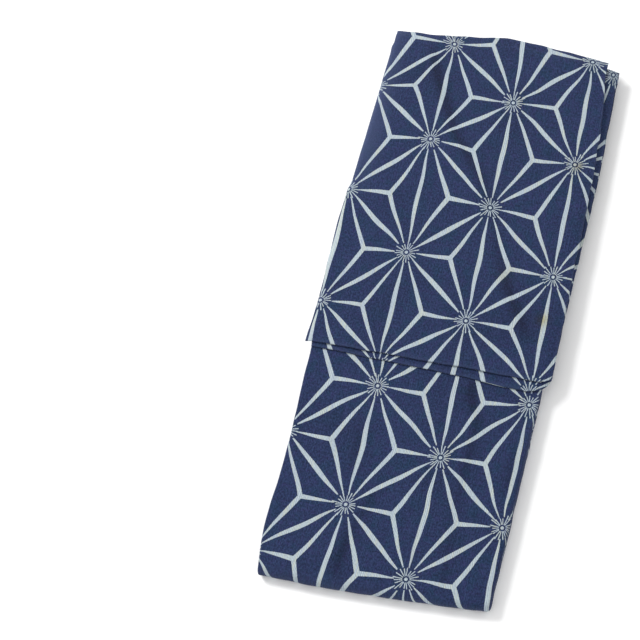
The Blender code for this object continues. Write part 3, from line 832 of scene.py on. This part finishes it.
def makeBack(name, facing, nodes, columns, rows, seed, restsOn):
    # a back panel, turned in at the side seam, the centre back and the shoulder
    depth = 0 if facing > 0 else deepFace
    curl = robe["sideCurl"]
    path = foldedPath(facing, depth, robe["shoulderY"], robe["shoulderY"] - robe["hemShort"], curl, *rows)
    reach = robe["shoulderY"] - path[:, 0]
    upper = path[:, 4] > robe["foldY"]
    near = backPanel["turnNear"]
    grown = near + (1 - near) * ease(reach / backPanel["turnRun"])
    turned = np.where(reach < curl, near * reach / curl, grown)
    turned = np.where(upper, np.clip(turned, 0, 1), 1.0)[:, None]
    x, depths, run = panelSection(curl, backCurl, 0.0, columns)
    innerX, innerDepth, _ = panelSection(curl, backCurl, robe["cloth"], columns)
    sections = [(x[None] + 0 * turned, depths[None] * turned),
                (x + (innerX - x) * turned, robe["cloth"] + (innerDepth - robe["cloth"]) * turned),
                run[None] + 0 * turned]

    def relief(px, pv):
        # little under the sleeves, more where the top lies bare, and only inwards on the underside
        r, fold = bodyRelief, robe["foldY"]
        bare = ease((r["bareFrom"] - pv) / r["bareRun"]) * (pv > r["bareTo"])
        amount = r["covered"] + (1 - r["covered"]) * bare
        edge = ease((px - robe["left"]) / r["edgeRun"]) * ease((robe["right"] - px) / r["edgeRun"])
        value = creaseRelief(px, pv, r["creases"]) + r["grain"] * softNoise(px, pv, seed, r["grainReach"])
        inFold = (1 - r["inFold"]) * ease((fold + r["foldStart"] - pv) / r["foldRun"])
        inFold = 1 - inFold * ease((pv - fold + r["foldEnd"]) / r["foldRun"])
        value = value * amount * edge * inFold * (1 if facing > 0 else r["inside"])
        value = np.maximum(value, -r["deepest"])
        if facing > 0:
            value = value + stepRelief(px, pv, r["steps"])[0]
        return np.where(pv < fold - r["foldStart"], np.minimum(value, 0), value)

    def marksAt(u, v, paintedShade):
        # worn along the half-length fold and the centre back, and painted shade on the creases' steep side
        (foldAt, foldWide), (sideAt, sideWide) = backPanel["foldWear"], backPanel["sideWear"]
        fold = bell(v - (robe["foldY"] - foldAt), foldWide)
        side = bell(u - sideAt, sideWide)
        return np.stack([0 * u, np.clip(fold + side, 0, 1), paintedShade * (facing > 0)], -1)

    piece = buildWall(name, *bodyPanel(path, sections, relief, seed, marksAt))
    flatWidth = backPanel["flatWidth"] + 0.5 * (curl + backCurl)
    enter(piece, nodes, (flatWidth, backPanel["flatLength"]), restsOn)


makeBack("left_back_panel", 1, ["left_back"], 116, (128, 26, 84), 101, [])
makeBack("right_back_panel", -1, ["right_back"], 60, (80, 10, 60), 201, ["left_back_panel"])


frontSheets = {
    # each layer: how far in from the side, how far short of the centre back, how far short at its ends
    "layers": {"panel": (0.0, 0.0, 0.0), "allowance": (0.0006, 0.0040, 0.0012),
               "overlap": (0.0011, 0.0015, 0.0005)},
    "step": 0.00122,  # from layer to layer
    "sideOut": 0.0014, "shoulderOut": 0.0011, "hemOut": 0.0010,  # out past the middle of the front's round
    "neckDeep": 0.0400, "neckRun": 0.0070, "neckIn": 0.0008,  # where they are cut away at the neck
    "grain": 0.00008, "grainReach": 0.05,
    "rows": (90, 14, 66), "columns": 34, "flatLength": 1.560,
}


def makeFrontSheet(name, node, depth, fromX, toX, endShort, seed, restsOn):
    # one layer of a folded front, cut away at the neck
    cut = frontSheets
    halfFront = robe["front"] / 2
    start = robe["shoulderY"] - robe["ply"] - robe["gap"] - halfFront + cut["shoulderOut"] - 0.4 * endShort
    end = robe["shoulderY"] - robe["hemShort"] - halfFront + cut["hemOut"] - endShort
    path = foldedPath(1, depth, start, end, 0, *cut["rows"])
    upper = path[:, 4] > robe["foldY"]
    neck = ease((path[:, 0] - (robe["shoulderY"] - cut["neckDeep"])) / cut["neckRun"]) * upper
    neckX = robe["right"] - robe["neckWidth"] - cut["neckIn"]
    left = fromX + wobble(path[:, 4], seed + 5, robe["uneven"])
    width = toX + (neckX - toX) * neck - left
    x = left[:, None] + np.linspace(0, 1, cut["columns"]) * width[:, None]
    sections = [(x, x * 0), (x, x * 0 + robe["cloth"]), x]

    def relief(px, pv):
        # faintly uneven
        return cut["grain"] * softNoise(px, pv, seed, cut["grainReach"])

    piece = buildWall(name, *bodyPanel(path, sections, relief, seed))
    enter(piece, [node], (toX - fromX, cut["flatLength"]), restsOn)


def makeFront(side, base, seed, rests):
    # the three sheets of one front, each a step deeper than the one before
    sideX = robe["left"] + robe["ply"] + robe["gap"] + robe["front"] / 2 - frontSheets["sideOut"]
    backX = robe["right"] - robe["ply"] - robe["front"] - robe["gap"]
    for k, (layer, (fromSide, fromBack, short)) in enumerate(frontSheets["layers"].items()):
        makeFrontSheet(f"{side}_front_{layer}", f"{side}_front", base + k * frontSheets["step"],
                       sideX + fromSide, backX - fromBack, short, seed + 40 * k, [rests])


makeFront("left", robe["ply"] + robe["gap"], 300, "left_back_panel")
makeFront("right", robe["ply"] + robe["front"] + 2 * robe["gap"], 320, "left_front_panel")

collarRuns = {
    "cloth": 0.00062, "bend": 0.00072, "deep": 0.0285,  # the cloth, the round of its fold, how far in it goes
    "fromNeck": 0.0030, "fromBack": 0.0020,
    "sway": 0.0006, "swayReach": 0.013, "wave": 0.00010, "waveReach": 0.009,
    "room": 0.0034, "lower": 0.00172,  # the height of both runs, and how far down the lower one lies
    "print": (0.3, 0.4),  # where on the cloth it is cut
}


def makeCollar(name, top, proud, seed):
    # one run of the collar at the neck: a strip folded along its length, its fold outermost
    c = collarRuns
    bend = c["bend"]
    y0 = robe["shoulderY"] + proud - bend
    y1 = robe["shoulderY"] - c["deep"]
    angle = np.radians(np.linspace(90, -90, 12))
    flat = np.linspace(y1, y0, 18)
    y = np.concatenate([flat[:-1], y0 + bend * np.cos(angle), flat[::-1][1:]])
    z = np.concatenate([flat[:-1] * 0 + bend, bend * np.sin(angle), flat[1:] * 0 - bend]) + top - bend
    ny = np.concatenate([flat[:-1] * 0, np.cos(angle), flat[1:] * 0])
    nz = np.concatenate([flat[:-1] * 0 + 1, np.sin(angle), flat[1:] * 0 - 1])
    neckX = robe["right"] - robe["neckWidth"] + c["fromNeck"]
    x = np.linspace(neckX, robe["right"] - backCurl - c["fromBack"], 40)
    sway = c["sway"] * np.sin(x / c["swayReach"] + seed)[None] * ease((y - y1) / 0.02)[:, None]
    wave = c["wave"] * np.sin(x / c["waveReach"] + seed)[None]
    grids = []
    for inward in (0.0, c["cloth"]):
        gy = (y - ny * inward)[:, None] + sway
        gz = (z - nz * inward)[:, None] + wave
        grids.append(layBody(x[None] + 0 * gy, gy, gz + 0 * gy))
    length = np.concatenate([[0], np.cumsum(np.hypot(np.diff(y), np.diff(z)))])
    u, v = np.meshgrid(x, length)
    prints = printOn(v + c["print"][0], u + c["print"][1], u, v, bodyPrint, seed)
    piece = buildWall(name, *grids, prints, np.zeros(u.shape + (3,)))
    enter(piece, ["collar"], (x[-1] - x[0], length[-1]), ["left_front_panel"])


collarTop = robe["stack"] - deepFace / 2 + collarRuns["room"] / 2
makeCollar("collar_upper_run", collarTop, 0.0040, 3)
makeCollar("collar_lower_run", collarTop - collarRuns["lower"], 0.0026, 5)
print("body ready")

# The sleeves
leftSleeve = {
    "name": "left_sleeve_tube", "node": "left_sleeve", "rests": "left_back_panel", "seed": 401,
    # y, how far the free back edge reaches past the body, the cuff edge
    "sides": np.array([(-0.1010, -0.0010, 0.1570), (-0.0500, -0.0010, 0.1575), (0.0400, -0.0010, 0.1595),
                       (0.1600, -0.0010, 0.1634), (0.3730, -0.0010, 0.1642)]),
    # x, the lower seam, the top fold
    "ends": np.array([(-0.1500, -0.0932, 0.3835), (-0.0900, -0.0951, 0.3825), (-0.0200, -0.0980, 0.3810),
                      (0.0530, -0.1015, 0.3790), (0.1000, -0.1052, 0.3780), (0.1650, -0.1060, 0.3772)]),
    "lift": robe["gap"], "wrap": 0.0050, "bend": 0.56, "over": None, "underPly": 0.0011,
    "corner": 0.0240, "cuffDrop": 0.0065,  # the round lower cuff corner, and how far the cuff sinks
    "star": (0.0340, 0.1360), "turn": 0.0,
    "stars": {(1, 1): (27, -8), (1, -2): (0, -2.5)},
    "joints": {},
    "creases": [(0.150, 0.250, 0.156, 0.100, 0.00020, 0.006)],
    "steps": [],
    "stains": [],
}
rightSleeve = {
    "name": "right_sleeve_tube", "node": "right_sleeve", "rests": "left_sleeve_tube", "seed": 501,
    "sides": np.array([(-0.0925, 0.0078, 0.1575), (-0.0200, 0.0040, 0.1580), (0.0400, 0.0050, 0.1582),
                       (0.1000, 0.0068, 0.1584), (0.1470, 0.0060, 0.1585), (0.2800, 0.0030, 0.1565),
                       (0.3870, 0.0030, 0.1480)]),
    "ends": np.array([(-0.1600, -0.0872, 0.3945), (-0.0580, -0.0882, 0.3985), (-0.0080, -0.0890, 0.4040),
                      (0.0060, -0.0890, 0.4062), (0.0200, -0.0890, 0.4046), (0.0810, -0.0903, 0.3975),
                      (0.1500, -0.0925, 0.3868)]),
    "lift": robe["sleeve"] + 3 * robe["gap"], "wrap": 0.0086, "bend": 0.80,
    "over": leftSleeve["ends"], "corner": 0.0120, "cuffDrop": 0.0040, "underPly": -0.0006,
    "star": (0.0340, 0.1410), "turn": 0.0,
    "stars": {(0, 0): (0, 0), (0, 1): (-0.4, 0.8), (0, -1): (1, -4.8), (1, 0): (-0.5, 0.9),
              (1, 1): (-4.6, 0.4), (1, -1): (0.7, -4.7), (-1, 1): (1, -1.5), (-1, 0): (-1.2, 8.9),
              (-1, -1): (1.9, -2.2), (-1, -2): (-0.9, 1), (-2, 1): (7, -2), (-2, 0): (4.5, -2.2),
              (-2, -1): (5, -8.1), (-2, -2): (1, 0), (0, 2): (-11.7, 30.1), (-2, 2): (-9.2, 17.8)},
    "joints": {(-2, -2, 1): (-0.1, -3), (-2, -1, 0): (-0.2, -2.5), (-2, -1, 1): (0.1, -2.7),
               (-2, 0, 0): (-2.7, 0.7), (-2, 0, 1): (-2.2, 5.8), (-1, -2, 0): (-0.8, -1.9),
               (-1, -1, 0): (-0.2, 4.7), (-1, -1, 1): (2.1, 1), (-1, 0, 0): (-0.7, -2.4),
               (-1, 0, 1): (0.8, -4.5), (-1, 1, 1): (-2.2, 0.6), (0, -2, 1): (0.1, -1.1),
               (0, -1, 0): (-0.2, -0.4), (0, -1, 1): (2.2, -3.7), (0, 0, 0): (1.1, -1.7),
               (0, 0, 1): (-0.1, 1.7)},
    "creases": [
        (0.060, 0.300, 0.075, 0.080, 0.00028, 0.012), (-0.100, 0.330, -0.080, 0.150, -0.00030, 0.011),
        (-0.020, 0.060, 0.000, -0.080, 0.00030, 0.012), (0.110, 0.060, 0.120, -0.080, -0.00030, 0.009),
        (-0.120, 0.080, -0.110, -0.070, 0.00030, 0.009), (0.020, 0.395, 0.000, 0.300, -0.00034, 0.012),
        (0.100, 0.380, 0.110, 0.260, 0.00028, 0.010), (-0.060, 0.390, -0.050, 0.330, 0.00026, 0.008),
    ],
    "steps": [np.array([(-0.0450, 0.1160, 0.0000), (-0.0280, 0.1070, 0.0012), (-0.0110, 0.0976, 0.0020),
                        (0.0190, 0.0799, 0.0020), (0.0530, 0.0628, 0.0011), (0.0800, 0.0508, 0.0009),
                        (0.1160, 0.0397, 0.0006), (0.1520, 0.0260, 0.0009), (0.1800, 0.0096, 0.0014),
                        (0.2070, -0.0103, 0.0019), (0.2380, -0.0337, 0.0017), (0.2790, -0.0559, 0.0019),
                        (0.3080, -0.0704, 0.0020), (0.3460, -0.0875, 0.0020), (0.3690, -0.0945, 0.0011),
                        (0.3850, -0.0990, 0.0000)])],
    # x, y, size, strength
    "stains": [(0.1308, -0.0075, 0.0090, 1.0), (0.0710, 0.0446, 0.0120, 0.4),
               (0.1366, 0.2213, 0.0060, 0.8), (-0.1655, -0.0915, 0.0028, 1.0)],
}
sleeveCut = {
    "seam": 0.2300,  # length of sleeve sewn to the body, from the shoulder
    "opening": 0.2300,  # length of cuff left open, from the sleeve's top
    "dropStart": 0.0050, "dropRun": 0.0240, "lastStrip": 0.0100,
    "overhangDrop": 0.0030, "cornerSlack": 0.0008,
    "parted": 0.72,  # how far the plies part at an open edge
    "grain": 0.00010, "grainReach": 0.042, "lowest": -0.0004, "highest": 0.0009,  # small creases
    "wearWide": 0.0022,  # worn along the cuff, the seam and the top fold
    "fade": 2.0, "fadeWide": 0.018, "fadeFrom": 0.10, "fadeRun": 0.12,  # painted highlight on the topmost sleeve's turn over the left side
    "sideColumns": 22, "topColumns": 96, "cuffColumns": 20, "upperRows": 124, "underRows": 64, "roundRows": 6,
    "flat": (0.3350, 0.9900),
}


def sleeveSection(y, cut, s):
    # The underside at each y: x, z, normal x, normal z, the length across, and the way in from each end.
    # It hangs round the side edge, lies flat on the body and sinks a little towards the cuff.
    cutting = sleeveCut
    y = y[:, None]
    tangent = bodySide(1, y, 0) + robe["sideCurl"]
    back = bodySide(2, y, 1)
    cuff = smoothRow(s["sides"], 2, y) - cut[:, None] + wobble(y, s["seed"] + 3, robe["uneven"])
    atCorner = ease((y - robe["shoulderY"] + 0.020) / 0.014)
    radiusSewn = robe["sideCurl"] + s["lift"] + cutting["cornerSlack"] * atCorner
    lengthSewn = radiusSewn * math.pi / 2 + s["wrap"] - robe["sideCurl"]
    radiusFree = (robe["sideCurl"] + smoothRow(s["sides"], 1, y)) / math.sin(s["bend"])
    worn = ease((y - (robe["shoulderY"] - cutting["seam"] - 0.022)) / 0.026)
    radius = radiusFree + worn * (radiusSewn - radiusFree)
    length = radiusFree * s["bend"] + worn * (lengthSewn - radiusFree * s["bend"])
    if s["over"] is not None:
        # past the body's shoulder the edge lies out flatter, as far as the turn reaches before it
        flatEnd = ease((y - (robe["shoulderY"] - 0.004)) / 0.012)
        radiusEnd = (robe["sideCurl"] + s["lift"]) / math.sin(0.5)
        radius = radius + flatEnd * (radiusEnd - radius)
        length = length + flatEnd * (radiusEnd * 0.5 - length)
    length = length + wobble(y, s["seed"] + 4, robe["uneven"] * 0.8)
    share = np.linspace(1, 0, cutting["sideColumns"]) ** 1.15
    run = length * share
    angle = np.minimum(run / radius, math.pi / 2)
    down = run - radius * angle
    top = robe["stack"] + s["lift"]
    x = [tangent - radius * np.sin(angle)]
    z = [top + radius * (np.cos(angle) - 1) - down]
    nx, nz = [-np.sin(angle)], [np.cos(angle)]
    lengthAcross = [tangent - run]
    turn = back - cutting["dropStart"]
    last = np.minimum(turn, cuff - cutting["lastStrip"])
    flat = np.linspace(0, 1, cutting["topColumns"] + 1)[1:-1]
    x.append(tangent + flat * (last - tangent))
    # closer columns at the cuff's edge
    closer = [0.95, 0.965, 0.978, 0.989, 0.996, 1.0]
    share = np.concatenate([np.linspace(0, 1, cutting["cuffColumns"])[:-1] * 0.93, closer])
    x.append(last + share * (cuff - last))
    drop = s["cuffDrop"] * ease((x[2] - turn) / cutting["dropRun"])
    z += [x[1] * 0 + top, top - drop]
    nx += [x[1] * 0, 0.16 * share + 0 * x[2]]
    nz += [x[1] * 0 + 1, x[2] * 0 + 1]
    lengthAcross += [x[1], x[2]]
    x, z, nx, nz, across = [np.concatenate(parts, axis=1) for parts in (x, z, nx, nz, lengthAcross)]
    size = np.hypot(nx, nz)
    fromCuff = cuff - x
    fromBody = across - (tangent - length)
    return x, z, nx / size, nz / size, across, fromCuff, fromBody


def makeSleeve(s):
    # A flattened bag of cloth: round its lower seam, up the upper ply, round the top fold and back under.
    cutting = sleeveCut
    thick, cloth = robe["sleeve"], robe["sleeveCloth"]
    bend = thick / 2
    low, high = s["ends"][:, 1].mean(), s["ends"][:, 2].mean()
    n = cutting["roundRows"]
    upper = np.linspace(0, 1, cutting["upperRows"])
    upper = upper - 0.55 * upper * np.exp(-upper / 0.045)  # closer rows in the round corner
    if s["over"] is None:
        shares, pasts = upper, upper * 0
        underShares = np.linspace(1, 0, cutting["underRows"])
        underPasts = underShares * 0
    else:
        over = np.linspace(0, 1, 9)
        shares = np.concatenate([upper * 0.950, over * 0 + 1])
        pasts = np.concatenate([upper * 0, np.maximum(over, 0.001)])
        underShares = np.concatenate([over * 0 + 1, np.linspace(0.95, 0, cutting["underRows"])])
        underPasts = np.concatenate([np.maximum(over[::-1], 0.001), np.zeros(cutting["underRows"])])
    riseAngle = np.radians(np.linspace(0, 90, n, endpoint=False))
    foldAngle = np.radians(np.linspace(90, -90, 2 * n))[1:-1]
    setAngle = np.radians(np.linspace(-90, 0, n, endpoint=False))
    # each row: the share of the way up, past the body's end, the offset along and the height on a unit bend
    parts = [(riseAngle * 0, riseAngle * 0, -np.cos(riseAngle), np.sin(riseAngle)),
             (shares, pasts, shares * 0, shares * 0 + 1),
             (foldAngle * 0 + 1, foldAngle * 0 + pasts[-1], np.cos(foldAngle), np.sin(foldAngle)),
             (underShares, underPasts, underShares * 0, underShares * 0 - 1),
             (setAngle * 0, setAngle * 0, -np.cos(setAngle), np.sin(setAngle))]
    share, past, along, height = np.concatenate([np.stack(part) for part in parts], axis=1)
    # the lower cuff corner is cut round
    up = share * (high - low)
    short = np.maximum(s["corner"] - up, 0)
    cut = s["corner"] - np.sqrt(s["corner"] ** 2 - short**2)
    x, z, nx, nz, across, fromCuff, fromBody = sleeveSection(low + up, cut, s)
    share, past, along, height, up = [value[:, None] for value in (share, past, along, height, up)]
    seam = smoothRow(s["ends"], 1, x) + wobble(x, s["seed"] + 1, robe["uneven"] * 0.7)
    fold = smoothRow(s["ends"], 2, x) + wobble(x, s["seed"] + 2, robe["uneven"] * 0.9)
    long = seam + share * (fold - seam)
    if s["over"] is not None:
        beneath = smoothRow(s["over"], 2, x) + thick / 2
        long = np.where(past > 0, beneath + past * (fold - beneath), long)
    # the two plies meet where the cuff and the armhole are sewn, and lie parted where they are open
    cuffOpen = ease((long - (high - cutting["opening"])) / 0.006) * ease((high + 0.004 - long) / 0.010)
    bodyOpen = ease((high - cutting["seam"] - long) / 0.006) * ease((long - low - 0.004) / 0.010)
    shut = 1.0
    for distance, opened in ((fromCuff, cuffOpen), (fromBody, bodyOpen)):
        inRound = np.sqrt(np.clip(1 - np.clip(1 - distance / (bend * 1.15), 0, 1) ** 2, 0, 1))
        shut = shut * (inRound + (1 - inRound) * cutting["parted"] * opened)
    onTop = height > 0.5
    lift = creaseRelief(x, long, s["creases"])
    lift = lift + cutting["grain"] * softNoise(x, long, s["seed"], cutting["grainReach"])
    inner = ease(fromCuff / 0.012) * ease(fromBody / 0.012)
    inner = inner * ease((long - seam) / 0.010) * ease((fold - long) / 0.010)
    lift = np.clip(lift * inner * onTop, cutting["lowest"], cutting["highest"])
    step, paintedShade = stepRelief(x, long, s["steps"])
    lift = lift + step * inner * onTop
    # the under ply of an open edge stands a little further out than the upper one, or further back
    out = s["underPly"] * cuffOpen * (height < 0) * ease((0.02 - fromCuff) / 0.02)
    grids = []
    for inward, least in ((0.0, 0.00030), (cloth, 0.00004)):
        reach = bend - inward
        level = bend + np.sign(height) * np.maximum(abs(height) * reach * shut, least * abs(height)) + lift
        y = long + along * reach
        gx = x + nx * level + out
        gz = (z + nz * level - cutting["overhangDrop"] * ease(past)) * settleShare(y)
        grids.append(np.stack([gx, y, gz], -1))
    # the length round the bag, from the lower seam up
    turned = np.pi / 2 - np.arcsin(height)
    v = np.where(along < 0, seam - bend * turned, long)
    v = np.where(along > 0, fold + bend * turned, v)
    isUnder = (height <= -0.999) & (abs(along) < 1e-9)
    v = np.where(isUnder, 2 * fold + np.pi * bend - long, v)
    setting = (along < 0) & (height < 0)
    v = np.where(setting, 2 * fold + np.pi * bend - seam + bend * (np.arcsin(height) + np.pi / 2), v)
    lap = (2 * (fold - seam) + 2 * np.pi * bend)[0]
    prints = printOn(across + 0 * v, v, x, long, s, s["seed"])
    marks = np.zeros(grids[0].shape)
    for sx, sy, size, strength in s["stains"]:
        marks[..., 0] += strength * np.exp(-(((x - sx) ** 2 + (long - sy) ** 2) / size**2)) * (height > 0)
    nearEnds = sum(bell(way, cutting["wearWide"]) for way in (fromCuff, long - seam, fold - long))
    marks[..., 1] = np.clip(nearEnds, 0, 1)
    if s["over"] is not None:
        # painted highlight: the topmost sleeve is lighter where it turns over the left side, towards its top
        paintedHighlight = bell(x - robe["left"], cutting["fadeWide"])
        paintedHighlight = paintedHighlight * ease((long - cutting["fadeFrom"]) / cutting["fadeRun"]) * onTop
        marks[..., 1] = marks[..., 1] + cutting["fade"] * paintedHighlight
    # painted shade on the steep side of the creases on top
    marks[..., 2] = paintedShade * onTop
    piece = buildWall(s["name"], *grids, prints, marks, lap=lap)
    enter(piece, [s["node"]], cutting["flat"], [s["rests"]])


makeSleeve(leftSleeve)
makeSleeve(rightSleeve)
print("sleeves ready")

# Floor, light and camera
studio = {
    "floor": 0.96, "world": 0.78, "key": 90.0, "keySize": 1.1, "keyFrom": (-2.20, 1.10, 2.10),
    "fill": 4.0, "fillSize": 1.6, "fillFrom": (0.7, -1.1, 1.5),
}
view = {
    "lens": 112.5, "tilt": 0.4518, "roll": -0.2759, "azimuth": 0.4803, "distance": 2.6393,
    "target": (-0.1587, -0.0466, 0.0),
}


def makeFloor():
    # a level square just under the robe
    side = np.array([(-4, -4), (4, -4), (4, 4), (-4, 4)], float)
    mesh = bpy.data.meshes.new("floor")
    mesh.from_pydata(np.column_stack([side, np.full(4, -0.0002)]), [], [(0, 1, 2, 3)])
    floor = bpy.data.objects.new("floor", mesh)
    bpy.context.scene.collection.objects.link(floor)
    paint = Dye("floor_paint")
    paint.put(paint.shader.inputs["Base Color"], (studio["floor"],) * 3 + (1.0,))
    paint.put(paint.shader.inputs["Roughness"], 0.7)
    mesh.materials.append(paint.material)
    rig.stage(floor)


def makeLight(name, power, size, place):
    # a square lamp that looks at the middle of the robe
    lamp = bpy.data.lights.new(name, "AREA")
    lamp.energy = power
    lamp.size = size
    lamp.color = (1.0, 1.0, 1.0)
    holder = bpy.data.objects.new(name, lamp)
    holder.location = place
    holder.rotation_euler = (-Vector(place)).to_track_quat("-Z", "Y").to_euler()
    bpy.context.scene.collection.objects.link(holder)


def makeCamera():
    # stands off from its target, tilted from straight above towards the azimuth, and rolled
    tilt, roll, azimuth = view["tilt"], view["roll"], view["azimuth"]
    back = Vector((math.sin(azimuth) * math.sin(tilt), -math.cos(azimuth) * math.sin(tilt), math.cos(tilt)))
    right = Vector((math.cos(azimuth), math.sin(azimuth), 0))
    up = back.cross(right)
    across = right * math.cos(roll) + up * math.sin(roll)
    upward = up * math.cos(roll) - right * math.sin(roll)
    place = Vector(view["target"]) - Vector(robe["middle"]) + back * view["distance"]
    lens = bpy.data.cameras.new("camera")
    lens.lens = view["lens"]
    lens.sensor_width = 36.0
    lens.clip_end = 50.0
    camera = bpy.data.objects.new("camera", lens)
    turn = Matrix((across, upward, back)).transposed().to_4x4()
    camera.matrix_world = Matrix.Translation(place) @ turn
    bpy.context.scene.collection.objects.link(camera)
    bpy.context.scene.camera = camera


makeFloor()
makeLight("key", studio["key"], studio["keySize"], studio["keyFrom"])
makeLight("fill", studio["fill"], studio["fillSize"], studio["fillFrom"])
world = bpy.data.worlds.new("studio")
world.use_nodes = True
world.node_tree.nodes["Background"].inputs[0].default_value = (1, 1, 1, 1)
world.node_tree.nodes["Background"].inputs[1].default_value = studio["world"]
bpy.context.scene.world = world
bpy.context.scene.view_settings.view_transform = "Standard"
bpy.context.scene.view_settings.look = "None"
makeCamera()
print("studio ready")

with open("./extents.json", "w") as sizes:
    boxes = {"cad": cadBox, "visual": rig.bounds()}
    json.dump({name: [list(corner) for corner in box] for name, box in boxes.items()}, sizes)
